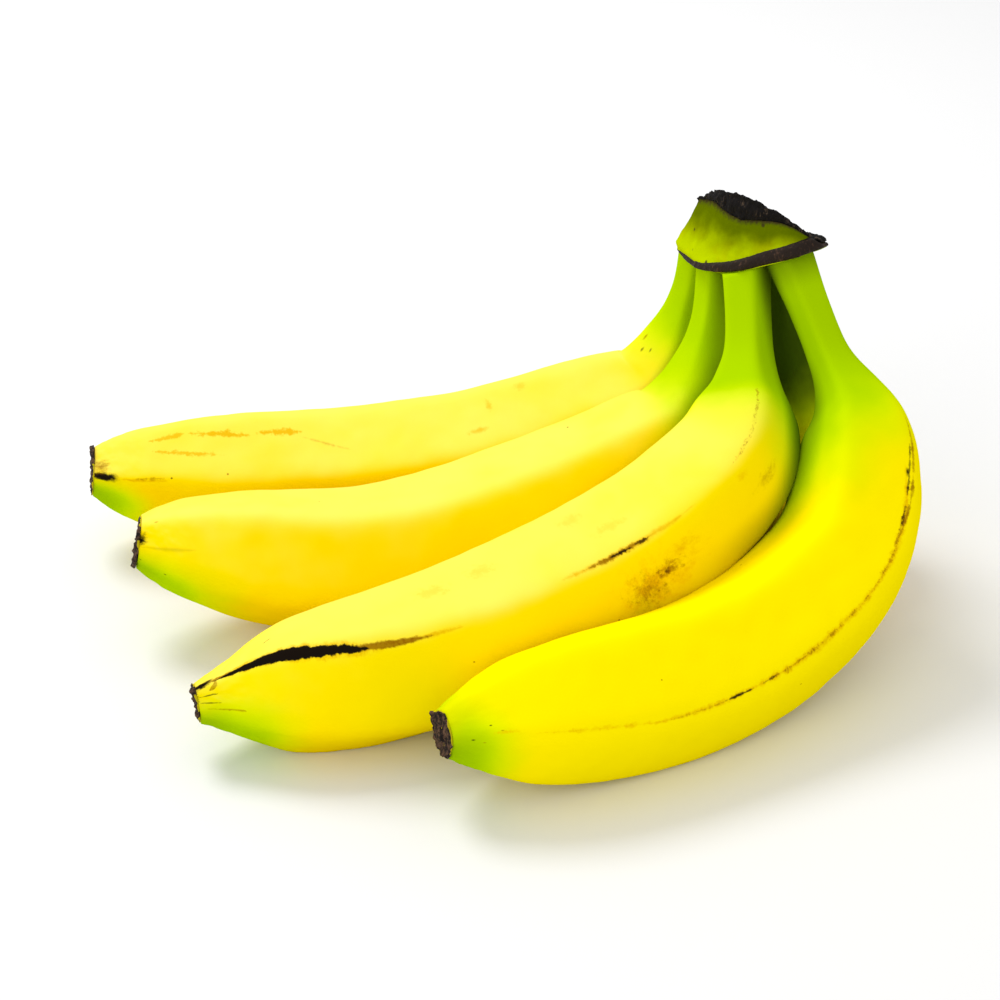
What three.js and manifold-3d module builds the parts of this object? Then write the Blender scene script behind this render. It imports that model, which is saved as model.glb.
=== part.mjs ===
import * as THREE from 'three';
import { mergeVertices } from 'three/addons/utils/BufferGeometryUtils.js';
import Module from 'manifold-3d';

// A bunch of five bananas lying on a flat surface. Millimetres, +Z up. The fingers run to the left, -X,
// and towards the front, -Y. The crown that joins them stands up at the right.
// Places are written from a point on the surface below the third finger's root, and the whole bunch is
// moved at the end so that the origin is below the middle of its bounding box.

const wasm = await Module();
wasm.setup();

// Driving dimensions
const middleOfBunch = [-69.4, -44.7];
const gap = 0.3;

// Each finger's spine: root, middle of neck, shoulder, upper belly, belly, waist and tip.
// girth scales its radius, and neck and tip scale its ends further. ridge is the turn of one of its five
// ridges from the inside of the bend, in degrees, and twist is how much further it has turned at the tip.
const fingers = [
  {
    spine: [
      [-7, 26, 99], [-10, 26, 69], [-18, 22.5, 42], [-42, 23, 30], [-73, 17, 22], [-124, 11.5, 18],
      [-184, 1, 25.5],
    ],
    girth: 1,
    neck: 1,
    tip: 1.08,
    ridge: 297,
    twist: -8,
  },
  {
    spine: [
      [-4, 13, 96], [-6.5, 2.5, 68], [-13, -9, 45.5], [-31, -15.5, 35], [-54, -24, 27.5], [-101, -38, 19],
      [-163.5, -46.5, 29.6],
    ],
    girth: 1,
    neck: 1,
    tip: 1.04,
    ridge: 306,
    twist: 10,
  },
  {
    spine: [
      [0.7, 0.5, 98], [1.2, -20.5, 67], [-3.5, -41, 52.5], [-17.6, -52.9, 40.6], [-38.6, -62.3, 29.2],
      [-84.5, -87.5, 18.8], [-142, -103.5, 15.2],
    ],
    girth: 1.02,
    neck: 1.12,
    tip: 0.74,
    ridge: 271,
    twist: 32,
  },
  {
    spine: [
      [12.3, -8.3, 94.5], [21.6, -20.3, 74], [29.2, -36.8, 58], [25.5, -57.5, 35], [7.5, -76.5, 23],
      [-17, -94, 18], [-81, -125.5, 21.5],
    ],
    girth: 0.985,
    neck: 1,
    tip: 0.9,
    ridge: 241,
    twist: 5,
  },
  {
    spine: [
      [10, 8, 96], [15, 8, 72], [22, 3, 48], [26, -6, 31], [23, -19, 18.5], [10, -33, 15.5], [-20, -42, 12],
    ],
    girth: 0.9,
    neck: 1,
    tip: 1,
    ridge: 250,
    twist: 0,
  },
];

// Radius of a finger of girth 1 along its length, from root (0) to tip (1).
const fingerProfile = [
  [0, 6.4], [0.07, 5.4], [0.14, 5.8], [0.19, 8.8], [0.24, 13.6], [0.3, 16.2], [0.4, 17.8],
  [0.55, 18.6], [0.75, 18.6], [0.85, 16.8], [0.92, 13.1], [0.96, 9.5], [0.984, 6.4],
];
const neckReach = [0.1, 0.2];
const tipReach = [0.88, 0.98];
const fingerEnd = 0.984;
const fingerRings = 34;
// Places of the rings: closer together at the shoulder and at the tip, where the radius changes fast.
const ringPlaces = [[0, 0], [0.09, 0.12], [0.5, 0.44], [0.78, 0.84], [1, 1]];

// The section has five rounded ridges. A higher sharpness gives flatter sides between them.
const ridgeCount = 5;
const ridgeSharpness = 5;
const sidesPerRidge = 5;
const meanSection = 1.035;

// The dried flower end: a thin rough cap with a hollowed face.
const blossomRadius = 6.2;
const blossomLength = 1.5;
const blossomFlare = 0.3;
const blossomDish = 0.8;

// The crown's lower rim, from its left end by way of the front to its right tip and round the back.
// The necks end on the shallow cone between this rim and the crown's middle.
const crownRim = [
  [-14.8, 24, 84], [-12.5, 12, 84.8], [-9.5, 1, 86.7], [-3, -8.5, 90], [5, -14, 94], [13, -17, 97.6],
  [21.3, -11.5, 98.5], [19.3, 2, 91.5], [16, 16, 88], [5, 30, 82], [-8, 34, 80],
];
const crownMiddle = [2, 8, 88];
const cutPlane = { height: 104.7, slopeX: -0.63, slopeY: -0.57 };
const cutDome = 1;
// At the front left the dried tissue reaches further down the wall. Middle and width are shares of the rim.
const cutDip = { depth: 3.7, middle: 0.275, width: 0.08 };
const crownTaper = 0.36;
const crownTaperHeight = 22;
const crownTaperPower = 1.25;
const crownLeastHeight = 1.2;
const crownSides = 44;

// The dried crust on the cut, and the brown scar that runs round the front of the rim.
const crustThickness = 2.2;
const crustLip = 0.3;
const crustRoughness = 0.7;
const crustThinning = 15;
const scarHeight = 3.5;
const scarTaper = 0.45;
const scarDepth = 3;
const scarOverhang = 1.1;
const scarStart = 0.015;
const scarEnd = 0.58;
const scarSteps = 30;

const peelColour = 0xf2cf1d;
const crownColour = 0x8a9a1e;
const crustColour = 0x1d1712;
const scarColour = 0x3b2618;
const blossomColour = 0x2c211a;

// Geometry helpers

function toVectors(points) {
  return points.map((p) => new THREE.Vector3(...p));
}

// A smooth value from a list of [place, value] pairs.
function valueAlong(table, place) {
  const last = table.length - 1;
  let i = 0;
  while (i < last - 1 && place > table[i + 1][0]) i += 1;
  const slopeAt = (k) => {
    const a = table[Math.max(k - 1, 0)];
    const b = table[Math.min(k + 1, last)];
    return (b[1] - a[1]) / (b[0] - a[0]);
  };
  const span = table[i + 1][0] - table[i][0];
  const w = THREE.MathUtils.clamp((place - table[i][0]) / span, 0, 1);
  const w2 = w * w;
  const w3 = w2 * w;
  return table[i][1] * (2 * w3 - 3 * w2 + 1) + slopeAt(i) * span * (w3 - 2 * w2 + w)
    + table[i + 1][1] * (3 * w2 - 2 * w3) + slopeAt(i + 1) * span * (w3 - w2);
}

// One closed body through rings of points, each end closed by a fan to its own middle point.
function closedLoft(rings, firstMiddle, lastMiddle) {
  const sides = rings[0].length;
  const points = [...rings.flat(), firstMiddle, lastMiddle];
  const first = points.length - 2;
  const last = points.length - 1;
  const lastRing = (rings.length - 1) * sides;
  const triangles = [];
  for (let j = 0; j < sides; j += 1) {
    const k = (j + 1) % sides;
    for (let i = 0; i < rings.length - 1; i += 1) {
      const near = i * sides;
      const far = near + sides;
      triangles.push(near + j, near + k, far + k, near + j, far + k, far + j);
    }
    triangles.push(first, k, j, last, lastRing + j, lastRing + k);
  }
  const geometry = new THREE.BufferGeometry().setFromPoints(points);
  geometry.setIndex(triangles);
  return facingOut(geometry);
}

function signedVolume(geometry) {
  const at = geometry.attributes.position;
  const index = geometry.index.array;
  const [a, b, c] = [new THREE.Vector3(), new THREE.Vector3(), new THREE.Vector3()];
  let volume = 0;
  for (let i = 0; i < index.length; i += 3) {
    a.fromBufferAttribute(at, index[i]);
    b.fromBufferAttribute(at, index[i + 1]);
    c.fromBufferAttribute(at, index[i + 2]);
    volume += a.dot(b.cross(c)) / 6;
  }
  return volume;
}

function facingOut(geometry) {
  if (signedVolume(geometry) < 0) {
    const index = geometry.index.array;
    for (let i = 0; i < index.length; i += 3) {
      [index[i], index[i + 1]] = [index[i + 1], index[i]];
    }
  }
  return geometry;
}

function toSolid(geometry) {
  const bare = geometry.clone();
  bare.deleteAttribute('normal');
  bare.deleteAttribute('uv');
  const merged = mergeVertices(bare);
  return new wasm.Manifold(new wasm.Mesh({
    numProp: 3,
    vertProperties: new Float32Array(merged.attributes.position.array),
    triVerts: new Uint32Array(merged.index.array),
  }));
}

function toGeometry(solid) {
  const mesh = solid.getMesh();
  const geometry = new THREE.BufferGeometry();
  geometry.setAttribute('position', new THREE.BufferAttribute(mesh.vertProperties, 3));
  geometry.setIndex(new THREE.BufferAttribute(mesh.triVerts, 1));
  return geometry;
}

// Fingers

// Radius of the five-ridged section, as a share of the finger's radius, at a turn from its first ridge.
function ridgedSection(turn) {
  let sum = 0;
  for (let side = 0; side < ridgeCount; side += 1) {
    const facing = Math.cos(turn - (side + 0.5) * 2 * Math.PI / ridgeCount);
    if (facing > 0) sum += facing ** ridgeSharpness;
  }
  return sum ** (-1 / ridgeSharpness) / meanSection;
}

// Unit normal of the plane that a finger bends in.
function bendNormal(stations) {
  const normal = new THREE.Vector3();
  for (let k = 1; k < stations.length - 1; k += 1) {
    const a = stations[k].clone().sub(stations[0]);
    const b = stations[k + 1].clone().sub(stations[0]);
    normal.add(a.cross(b));
  }
  return normal.normalize();
}

// A finger's spine with the frame of its section at any share of its length.
function fingerFrame(finger) {
  const stations = toVectors(finger.spine);
  const curve = new THREE.CatmullRomCurve3(stations, false, 'centripetal');
  const normal = bendNormal(stations);
  return (share) => {
    const along = curve.getTangentAt(share);
    const inside = normal.clone().cross(along).normalize();
    const across = along.clone().cross(inside);
    return { middle: curve.getPointAt(share), along, inside, across };
  };
}

function ridgeTurnAt(finger, share) {
  return THREE.MathUtils.degToRad(finger.ridge + finger.twist * THREE.MathUtils.smoothstep(share, 0.5, 1));
}

function ringRound(frame, radiusAt, turn, sides) {
  return Array.from({ length: sides }, (unused, j) => {
    const angle = 2 * Math.PI * j / sides;
    const radius = radiusAt(angle, j);
    return frame.middle.clone()
      .addScaledVector(frame.inside, radius * Math.cos(turn + angle))
      .addScaledVector(frame.across, radius * Math.sin(turn + angle));
  });
}

function ringShares() {
  const placeOf = (i) => fingerEnd * valueAlong(ringPlaces, i / fingerRings);
  return Array.from({ length: fingerRings + 1 }, (unused, i) => placeOf(i));
}

function fingerRadius(finger, share) {
  const neck = THREE.MathUtils.lerp(finger.neck, 1, THREE.MathUtils.smoothstep(share, ...neckReach));
  const tip = THREE.MathUtils.lerp(1, finger.tip, THREE.MathUtils.smoothstep(share, ...tipReach));
  return finger.girth * neck * tip * valueAlong(fingerProfile, share);
}

function fingerBody(finger) {
  const frameAt = fingerFrame(finger);
  const sides = ridgeCount * sidesPerRidge;
  const rings = ringShares().map((share) => {
    const radius = fingerRadius(finger, share);
    const radiusAt = (angle) => radius * ridgedSection(angle);
    return ringRound(frameAt(share), radiusAt, ridgeTurnAt(finger, share), sides);
  });
  return closedLoft(rings, frameAt(0).middle, frameAt(fingerEnd).middle);
}

function blossomBody(finger) {
  const frameAt = fingerFrame(finger);
  const { middle, along, inside, across } = frameAt(fingerEnd);
  const sides = ridgeCount * 4;
  const ringAt = (height, radius, wave) => ringRound(
    { middle: middle.clone().addScaledVector(along, height), inside, across },
    (angle, j) => finger.girth * finger.tip * radius * (1 + wave * Math.sin(2.6 * j + finger.ridge)),
    ridgeTurnAt(finger, fingerEnd),
    sides,
  );
  const rings = [
    ringAt(gap, blossomRadius, 0),
    ringAt(gap + 0.35 * blossomLength, blossomRadius, 0.03),
    ringAt(gap + 0.85 * blossomLength, blossomRadius + blossomFlare, 0.05),
    ringAt(gap + blossomLength, blossomRadius - 0.5, 0.07),
    ringAt(gap + blossomLength - blossomDish, 0.5 * blossomRadius, 0.1),
  ];
  const firstMiddle = middle.clone().addScaledVector(along, gap);
  const lastMiddle = middle.clone().addScaledVector(along, gap + blossomLength - blossomDish);
  return closedLoft(rings, firstMiddle, lastMiddle);
}

// Crown

const rimCurve = new THREE.CatmullRomCurve3(toVectors(crownRim), true, 'centripetal');
const rimMiddle = new THREE.Vector3(...crownMiddle);

// Share of the rim's distance from the crown's middle that is left at a height above the rim.
function crownNarrowing(height) {
  const share = THREE.MathUtils.clamp(height / crownTaperHeight, 0, 1);
  return 1 - crownTaper * (1 - (1 - share) ** crownTaperPower);
}

// A point of the crown's wall. rimShare runs once round the rim, height is above the rim, and outwards
// moves the point out from the wall, or in under the crown.
function crownWall(rimShare, height, outwards = 0) {
  const spoke = rimCurve.getPoint((rimShare + 1) % 1).sub(rimMiddle);
  const shift = outwards / Math.hypot(spoke.x, spoke.y);
  const scale = crownNarrowing(height) + shift;
  const reach = new THREE.Vector3(spoke.x * scale, spoke.y * scale, spoke.z * (1 + shift) + height);
  return rimMiddle.clone().add(reach);
}

// How far the green ends below the cut's plane.
function dipAt(rimShare) {
  const away = (rimShare - cutDip.middle) / cutDip.width;
  return cutDip.depth * Math.exp(-0.5 * away * away);
}

// Height of the cut's plane above the rim where it meets the wall.
function planeHeight(rimShare) {
  const rim = crownWall(rimShare, 0);
  let height = 10;
  for (let round = 0; round < 12; round += 1) {
    const wall = crownWall(rimShare, height);
    const cut = cutPlane.height + cutPlane.slopeX * wall.x + cutPlane.slopeY * wall.y;
    height = Math.max(cut - rim.z, crownLeastHeight);
  }
  return height;
}

// Height of the green wall above the rim.
function cutHeight(rimShare) {
  return Math.max(planeHeight(rimShare) - dipAt(rimShare), crownLeastHeight);
}

function rimShares() {
  return Array.from({ length: crownSides }, (unused, j) => j / crownSides);
}

function middleOf(ring) {
  const sum = new THREE.Vector3();
  ring.forEach((point) => sum.add(point));
  return sum.divideScalar(ring.length);
}

// The cut ring drawn in towards its own middle, domed, and raised by a height that may change round it.
function cutRing(inwards, raise, outwards = 0) {
  const edge = rimShares().map((share) => crownWall(share, cutHeight(share), outwards));
  const middle = middleOf(edge);
  const dome = cutDome * (1 - (1 - inwards) ** 2);
  return edge.map((point, j) => {
    const lift = dome + raise(rimShares()[j]);
    return point.lerp(middle, inwards).add(new THREE.Vector3(0, 0, lift));
  });
}

function crownBody(scar) {
  const levels = [0, 0.12, 0.3, 0.5, 0.75];
  const rings = levels.map((level) => rimShares().map((share) => crownWall(share, level * cutHeight(share))));
  const level = () => 0;
  rings.push(cutRing(0, level), cutRing(0.35, level), cutRing(0.7, level));
  const topMiddle = middleOf(cutRing(1, level));
  const solid = toSolid(closedLoft(rings, rimMiddle, topMiddle));
  return toGeometry(solid.subtract(toSolid(scar)));
}

// The crust: an even underside over the green, and a torn, uneven top. It thins towards the right tip.
function crustBody() {
  const thickness = (share) => {
    const left = THREE.MathUtils.clamp(planeHeight(share) / crustThinning, 0.3, 1);
    return crustThickness * left;
  };
  const filled = (share) => planeHeight(share) - cutHeight(share);
  const underside = () => gap;
  const side = (share) => gap + 0.55 * (thickness(share) + filled(share));
  const topAt = (inwards) => (share) => gap + thickness(share) + (1 - inwards) * filled(share);
  const torn = (ring, seed) => ring.map((point, j) => {
    const wave = Math.sin(1.9 * j + seed) + 0.6 * Math.sin(4.3 * j + 2 * seed);
    return point.add(new THREE.Vector3(0, 0, crustRoughness * wave * 0.4));
  });
  const rings = [
    cutRing(0.7, underside),
    cutRing(0.35, underside),
    cutRing(0, underside, crustLip),
    torn(cutRing(0, side, crustLip), 1),
    torn(cutRing(0.06, topAt(0), crustLip), 2),
    torn(cutRing(0.35, topAt(0.35)), 4),
    torn(cutRing(0.7, topAt(0.7)), 6),
  ];
  return closedLoft(rings, middleOf(cutRing(1, underside)), middleOf(cutRing(1, topAt(1))));
}

// The scar: a bar that follows the rim, set into the crown's lower edge and thicker towards the right.
function scarBody(clearance) {
  const rings = Array.from({ length: scarSteps + 1 }, (unused, i) => {
    const w = i / scarSteps;
    const share = THREE.MathUtils.lerp(scarStart - clearance / 100, scarEnd + clearance / 100, w);
    const ends = Math.min(1, 6 * w + 0.25, 6 * (1 - w) + 0.25);
    const wanted = ends * scarHeight * THREE.MathUtils.lerp(scarTaper, 1, Math.min(1, 1.6 * w));
    const top = Math.min(wanted, cutHeight(share)) + clearance;
    const outer = ends * scarOverhang + clearance;
    const inner = -scarDepth - clearance;
    return [
      crownWall(share, -clearance, inner),
      crownWall(share, -clearance, 0.4 * outer),
      crownWall(share, 0.3 * top, outer),
      crownWall(share, 0.75 * top, outer),
      crownWall(share, top, 0.2 * outer),
      crownWall(share, top, inner),
    ];
  });
  return closedLoft(rings, middleOf(rings[0]), middleOf(rings[rings.length - 1]));
}

// Cutters

// A block whose upper face is the surface that the bunch lies on.
function groundBlock() {
  return new THREE.BoxGeometry(600, 600, 40).translate(0, 0, -20);
}

// A block whose lower face lies a gap below the crown's underside, where the necks end.
function neckBlock() {
  const ringAt = (scale, height) => rimShares().map((share) => {
    const spoke = crownWall(share, 0).sub(rimMiddle).multiplyScalar(scale);
    return rimMiddle.clone().add(spoke).add(new THREE.Vector3(0, 0, height));
  });
  const reach = 1.6;
  const height = 60;
  const underside = rimMiddle.clone().add(new THREE.Vector3(0, 0, -gap));
  return closedLoft([ringAt(reach, -gap), ringAt(reach, height)], underside, middleOf(ringAt(reach, height)));
}

// The bunch

function pieceOf(name, geometry, colour, roughness) {
  const material = new THREE.MeshStandardMaterial({ color: colour, roughness, metalness: 0 });
  const mesh = new THREE.Mesh(geometry, material);
  mesh.name = name;
  return mesh;
}

const bunch = new THREE.Group();
bunch.name = 'bunch_of_bananas';
bunch.position.set(-middleOfBunch[0], -middleOfBunch[1], 0);

const ground = toSolid(groundBlock());
const neckCut = toSolid(neckBlock());
fingers.forEach((finger, i) => {
  const body = toSolid(fingerBody(finger)).subtract(ground).subtract(neckCut);
  bunch.add(pieceOf(`banana_${i + 1}`, toGeometry(body), peelColour, 0.5));
  bunch.add(pieceOf(`blossom_end_${i + 1}`, blossomBody(finger), blossomColour, 0.9));
});
bunch.add(pieceOf('crown', crownBody(scarBody(gap)), crownColour, 0.6));
bunch.add(pieceOf('crown_cut', crustBody(), crustColour, 0.95));
bunch.add(pieceOf('bract_scar', scarBody(0), scarColour, 0.9));

export default bunch;
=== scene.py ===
"""A small bunch of five bananas lying on a pale floor, in soft studio light.

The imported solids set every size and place. Fine skins with the same spines, ridges and rims replace them.
Places in millimetres are written from the surface point below the third finger's root, as the solids'
are, and moved by MIDDLE_OF_BUNCH.
"""

import math

import bpy
import numpy as np
from bpy.props import FloatProperty, FloatVectorProperty, PointerProperty
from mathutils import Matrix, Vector, noise


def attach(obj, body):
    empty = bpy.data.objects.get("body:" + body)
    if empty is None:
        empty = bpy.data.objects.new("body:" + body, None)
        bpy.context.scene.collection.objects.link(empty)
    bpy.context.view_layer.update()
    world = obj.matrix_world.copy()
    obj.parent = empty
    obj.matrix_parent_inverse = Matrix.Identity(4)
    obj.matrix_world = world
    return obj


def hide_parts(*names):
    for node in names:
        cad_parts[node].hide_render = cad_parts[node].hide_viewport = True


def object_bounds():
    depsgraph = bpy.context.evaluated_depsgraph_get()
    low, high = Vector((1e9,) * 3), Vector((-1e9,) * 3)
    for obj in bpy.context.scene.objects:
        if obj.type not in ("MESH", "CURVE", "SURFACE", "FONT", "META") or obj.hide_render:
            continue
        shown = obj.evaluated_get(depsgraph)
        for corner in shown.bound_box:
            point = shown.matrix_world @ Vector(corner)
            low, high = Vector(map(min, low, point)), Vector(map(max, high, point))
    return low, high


bl_info = {
    "name": "Banana Bunch",
    "version": (1, 0, 0),
    "blender": (4, 5, 0),
    "location": "View3D > Sidebar > Bananas",
    "description": "Builds a bunch of five ripe bananas, its crown and a plain stage",
    "category": "Object",
}

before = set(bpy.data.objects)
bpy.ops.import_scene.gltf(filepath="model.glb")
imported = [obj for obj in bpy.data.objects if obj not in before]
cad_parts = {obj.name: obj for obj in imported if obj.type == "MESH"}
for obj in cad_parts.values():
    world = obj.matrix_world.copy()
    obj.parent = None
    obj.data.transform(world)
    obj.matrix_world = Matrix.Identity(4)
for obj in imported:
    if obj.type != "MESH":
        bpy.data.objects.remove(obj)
cad_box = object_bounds()

MM = 0.001
MIDDLE_OF_BUNCH = np.array([-69.4, -44.7, 0.0])
GAP = 0.3

# The fingers, numbered as the solids are. spine: root, middle of neck, shoulder, upper belly, belly, waist
# and tip. girth scales the radius, and neck and tip scale the ends further. ridge is the turn of one of
# the five ridges from the inside of the bend, in degrees, and twist is its further turn at the tip. web is
# how far the peel fills the hollow between neck and body, in millimetres. green tells between which shares
# of the length the neck's green fades out, and how much further it reaches on the inside of the bend.
# tip_green is the share where the tip's green starts, and how far it spreads up the sides. pale is how much
# the painted highlight pales the peel that faces up, lemon changes the yellow, and shade is the share to
# which painted shade from close neighbours darkens the peel.
FINGERS = {
    1: {
        "spine": [
            (-7, 26, 99), (-10, 26, 69), (-18, 22.5, 42), (-42, 23, 30), (-73, 17, 22), (-124, 11.5, 18),
            (-184, 1, 25.5),
        ],
        "girth": 1, "neck": 1, "tip": 1.08, "ridge": 297, "twist": -8, "web": 2.4,
        "green": (0.11, 0.31, 0.0), "tip_green": (0.88, 0.7), "painted_highlight": 0.9, "lemon": 0.1, "shade": 0.5,
    },
    2: {
        "spine": [
            (-4, 13, 96), (-6.5, 2.5, 68), (-13, -9, 45.5), (-31, -15.5, 35), (-54, -24, 27.5),
            (-101, -38, 19), (-163.5, -46.5, 29.6),
        ],
        "girth": 1, "neck": 1, "tip": 1.04, "ridge": 306, "twist": 10, "web": 1.2,
        "green": (0.13, 0.39, 0.0), "tip_green": (0.78, 0.9), "painted_highlight": 0.9, "lemon": 0.3, "shade": 0.5,
    },
    3: {
        "spine": [
            (0.7, 0.5, 98), (1.2, -20.5, 67), (-3.5, -41, 52.5), (-17.6, -52.9, 40.6), (-38.6, -62.3, 29.2),
            (-84.5, -87.5, 18.8), (-142, -103.5, 15.2),
        ],
        "girth": 1.02, "neck": 1.12, "tip": 0.74, "ridge": 271, "twist": 32, "web": 0.3,
        "green": (0.17, 0.35, 0.0), "tip_green": (0.82, 1.5), "painted_highlight": 0.8, "lemon": 0.6, "shade": 0.45,
    },
    4: {
        "spine": [
            (12.3, -8.3, 94.5), (21.6, -20.3, 74), (29.2, -36.8, 58), (25.5, -57.5, 35), (7.5, -76.5, 23),
            (-17, -94, 18), (-81, -125.5, 21.5),
        ],
        "girth": 0.985, "neck": 1, "tip": 0.9, "ridge": 241, "twist": 5, "web": 0.0,
        "green": (0.12, 0.31, 0.24), "tip_green": (0.88, 2.6), "painted_highlight": 0, "lemon": 1, "shade": 0.36,
    },
    5: {
        "spine": [
            (10, 8, 96), (15, 8, 72), (22, 3, 48), (26, -6, 31), (23, -19, 18.5), (10, -33, 15.5),
            (-20, -42, 12),
        ],
        "girth": 0.9, "neck": 1, "tip": 1, "ridge": 250, "twist": 0, "web": 0.0,
        "green": (0.27, 0.6, 0.0), "tip_green": (0.88, 0.6), "painted_highlight": 0, "lemon": 0, "shade": 1.2,
    },
}

# Radius of a finger of girth 1 at a share of its length from root (0) to tip (1), in millimetres.
FINGER_PROFILE = [
    (0, 6.4), (0.07, 5.4), (0.14, 5.8), (0.19, 8.8), (0.24, 13.6), (0.3, 16.2), (0.4, 17.8),
    (0.55, 18.6), (0.75, 18.6), (0.85, 16.8), (0.92, 13.1), (0.96, 9.5), (0.984, 6.4),
]
NECK_REACH = (0.1, 0.2)
TIP_REACH = (0.88, 0.98)
FINGER_END = 0.984
HIDDEN_FINGER = 5
RIDGE_COUNT = 5
RIDGE_SHARPNESS = 8.5
MEAN_SECTION = 1.055
BELLY_RADIUS = 18.6

# Fine relief of the peel: sizes and heights in millimetres, places and widths as shares of the length.
SKIN_SIDES = 120
SKIN_RINGS = 240
UNEVENNESS_SIZE = 24.0
WEB_PLACE = 0.2
WEB_WIDTH = 0.045
TIP_LUMP_SIZE = 3.0
TIP_LUMP_HEIGHT = 0.22

# Sheltered points are given painted shade.
# A point is sheltered when another finger's skin is near the place this far before it, in millimetres.
SHELTER_REACH = 6
SHELTER_NEAR = -4
SHELTER_FAR = 7

# The dried flower end: height above the peel's end and radius, in millimetres, from its rim to its middle.
# Its first steps are its outer side.
CAP_PROFILE = [
    (0.0, 5.7), (0.1, 6.2), (0.3, 6.3), (0.6, 6.3), (0.9, 6.2), (1.2, 6.0), (1.4, 5.6), (1.3, 5.0),
    (1.0, 4.2), (0.8, 3.3), (0.8, 2.2), (1.1, 1.1), (1.2, 0.4),
]
CAP_SIDES = 90
CAP_RINGS = 40
CAP_OUTER_STEPS = 5.5
CAP_LUMP_SIZE = 2.2
CAP_CREASE_SIZE = 1.6
CAP_KNOB_SIZE = 4.5
CAP_KNOB_REACH = 1.2

# Crown, in millimetres: lower rim from its left end by the front to its right tip and round the back.
CROWN_RIM = [
    (-14.8, 24, 84), (-12.5, 12, 84.8), (-9.5, 1, 86.7), (-3, -8.5, 90), (5, -14, 94), (13, -17, 97.6),
    (21.3, -11.5, 98.5), (19.3, 2, 91.5), (16, 16, 88), (5, 30, 82), (-8, 34, 80),
]
CROWN_MIDDLE = np.array([2.0, 8.0, 88.0])
CUT_HEIGHT = 104.7
CUT_SLOPE = (-0.63, -0.57)
CUT_DOME = 1
# At the front left the dried tissue reaches further down the wall. middle and width are shares of the rim.
CUT_DIP = {"depth": 3.7, "middle": 0.275, "width": 0.08}
CROWN_TAPER = 0.36
CROWN_TAPER_HEIGHT = 22
CROWN_TAPER_POWER = 1.25
CROWN_LEAST_HEIGHT = 1.2
CROWN_SIDES = 260
CROWN_LEVELS = 46
CROWN_LID = (0.08, 0.2, 0.4, 0.7)
CROWN_LUMP_SIZE = 7.0
CROWN_BULGE = 1.3
CRUST_THINNING = 15
CRUST_TUCKED_RINGS = 3
CRUST_WALL_RINGS = 15
CRUST_TOP_RINGS = 40
CRUST_LUMP_SIZE = 2.6
CRUST_WAVE_SIZE = 7.0
CRUST_WAVE_HEIGHT = 0.5
CRUST_TEAR_SIZE = 1.8
CRUST_TEAR_DEPTH = 0.4
SCAR_START = 0.015
SCAR_END = 0.58
SCAR_DEPTH = 3.0
SCAR_STEPS = 220
SCAR_SIDES = 40
SCAR_GRAIN_SIZE = 1.3
SCAR_GRAIN_HEIGHT = 0.1
SCAR_WAVE_SIZE = 8.0
SCAR_WAVE_HEIGHT = 0.25

# Camera, fitted to the photograph's outlines.
CAMERA_PLACE = np.array([-64.6, -541.5, 309.2])
CAMERA_ELEVATION = 28.4
CAMERA_LENS = 77.42


# Shapes

def metres(points):
    """Points in millimetres of the bunch's own drawing, as metres in the frame."""
    return (np.asarray(points, float) - MIDDLE_OF_BUNCH) * MM


def value_along(table, place):
    """Smooth values from a list of (place, value) pairs."""
    at = np.array([p for p, v in table], float)
    value = np.array([v for p, v in table], float)
    slope = np.zeros(len(at))
    for k in range(len(at)):
        a, b = max(k - 1, 0), min(k + 1, len(at) - 1)
        slope[k] = (value[b] - value[a]) / (at[b] - at[a])
    place = np.asarray(place, float)
    i = np.clip(np.searchsorted(at, place, side="right") - 1, 0, len(at) - 2)
    span = at[i + 1] - at[i]
    w = np.clip((place - at[i]) / span, 0, 1)
    return (
        value[i] * (2 * w**3 - 3 * w**2 + 1) + slope[i] * span * (w**3 - 2 * w**2 + w)
        + value[i + 1] * (3 * w**2 - 2 * w**3) + slope[i + 1] * span * (w**3 - w**2)
    )


def between(at, start, end, low, high):
    """The point at a place between two places of a curve."""
    return (end - at) / (end - start) * low + (at - start) / (end - start) * high


def spline(points, steps, closed=False):
    """Centripetal Catmull-Rom curve through points, steps per stretch."""
    p = np.asarray(points, float)
    if closed:
        p = np.vstack([p[-1], p, p[0], p[1]])
    else:
        p = np.vstack([2 * p[0] - p[1], p, 2 * p[-1] - p[-2]])
    knots = np.concatenate([[0], np.cumsum(np.linalg.norm(np.diff(p, axis=0), axis=1) ** 0.5)])
    curve = []
    for i in range(len(p) - 3):
        t = knots[i:i + 4]
        for at in np.linspace(t[1], t[2], steps, endpoint=False):
            a = [between(at, t[k], t[k + 1], p[i + k], p[i + k + 1]) for k in range(3)]
            b = [between(at, t[k], t[k + 2], a[k], a[k + 1]) for k in range(2)]
            curve.append(between(at, t[1], t[2], b[0], b[1]))
    if not closed:
        curve.append(p[-2])
    return np.array(curve)


def unit(v):
    return v / np.linalg.norm(v, axis=-1, keepdims=True)


def full_turn(sides):
    """Angles of the corners of a ring."""
    return 2 * math.pi * np.arange(sides) / sides


def smoothstep(x, low, high):
    w = np.clip((x - low) / (high - low), 0, 1)
    return w * w * (3 - 2 * w)


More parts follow.
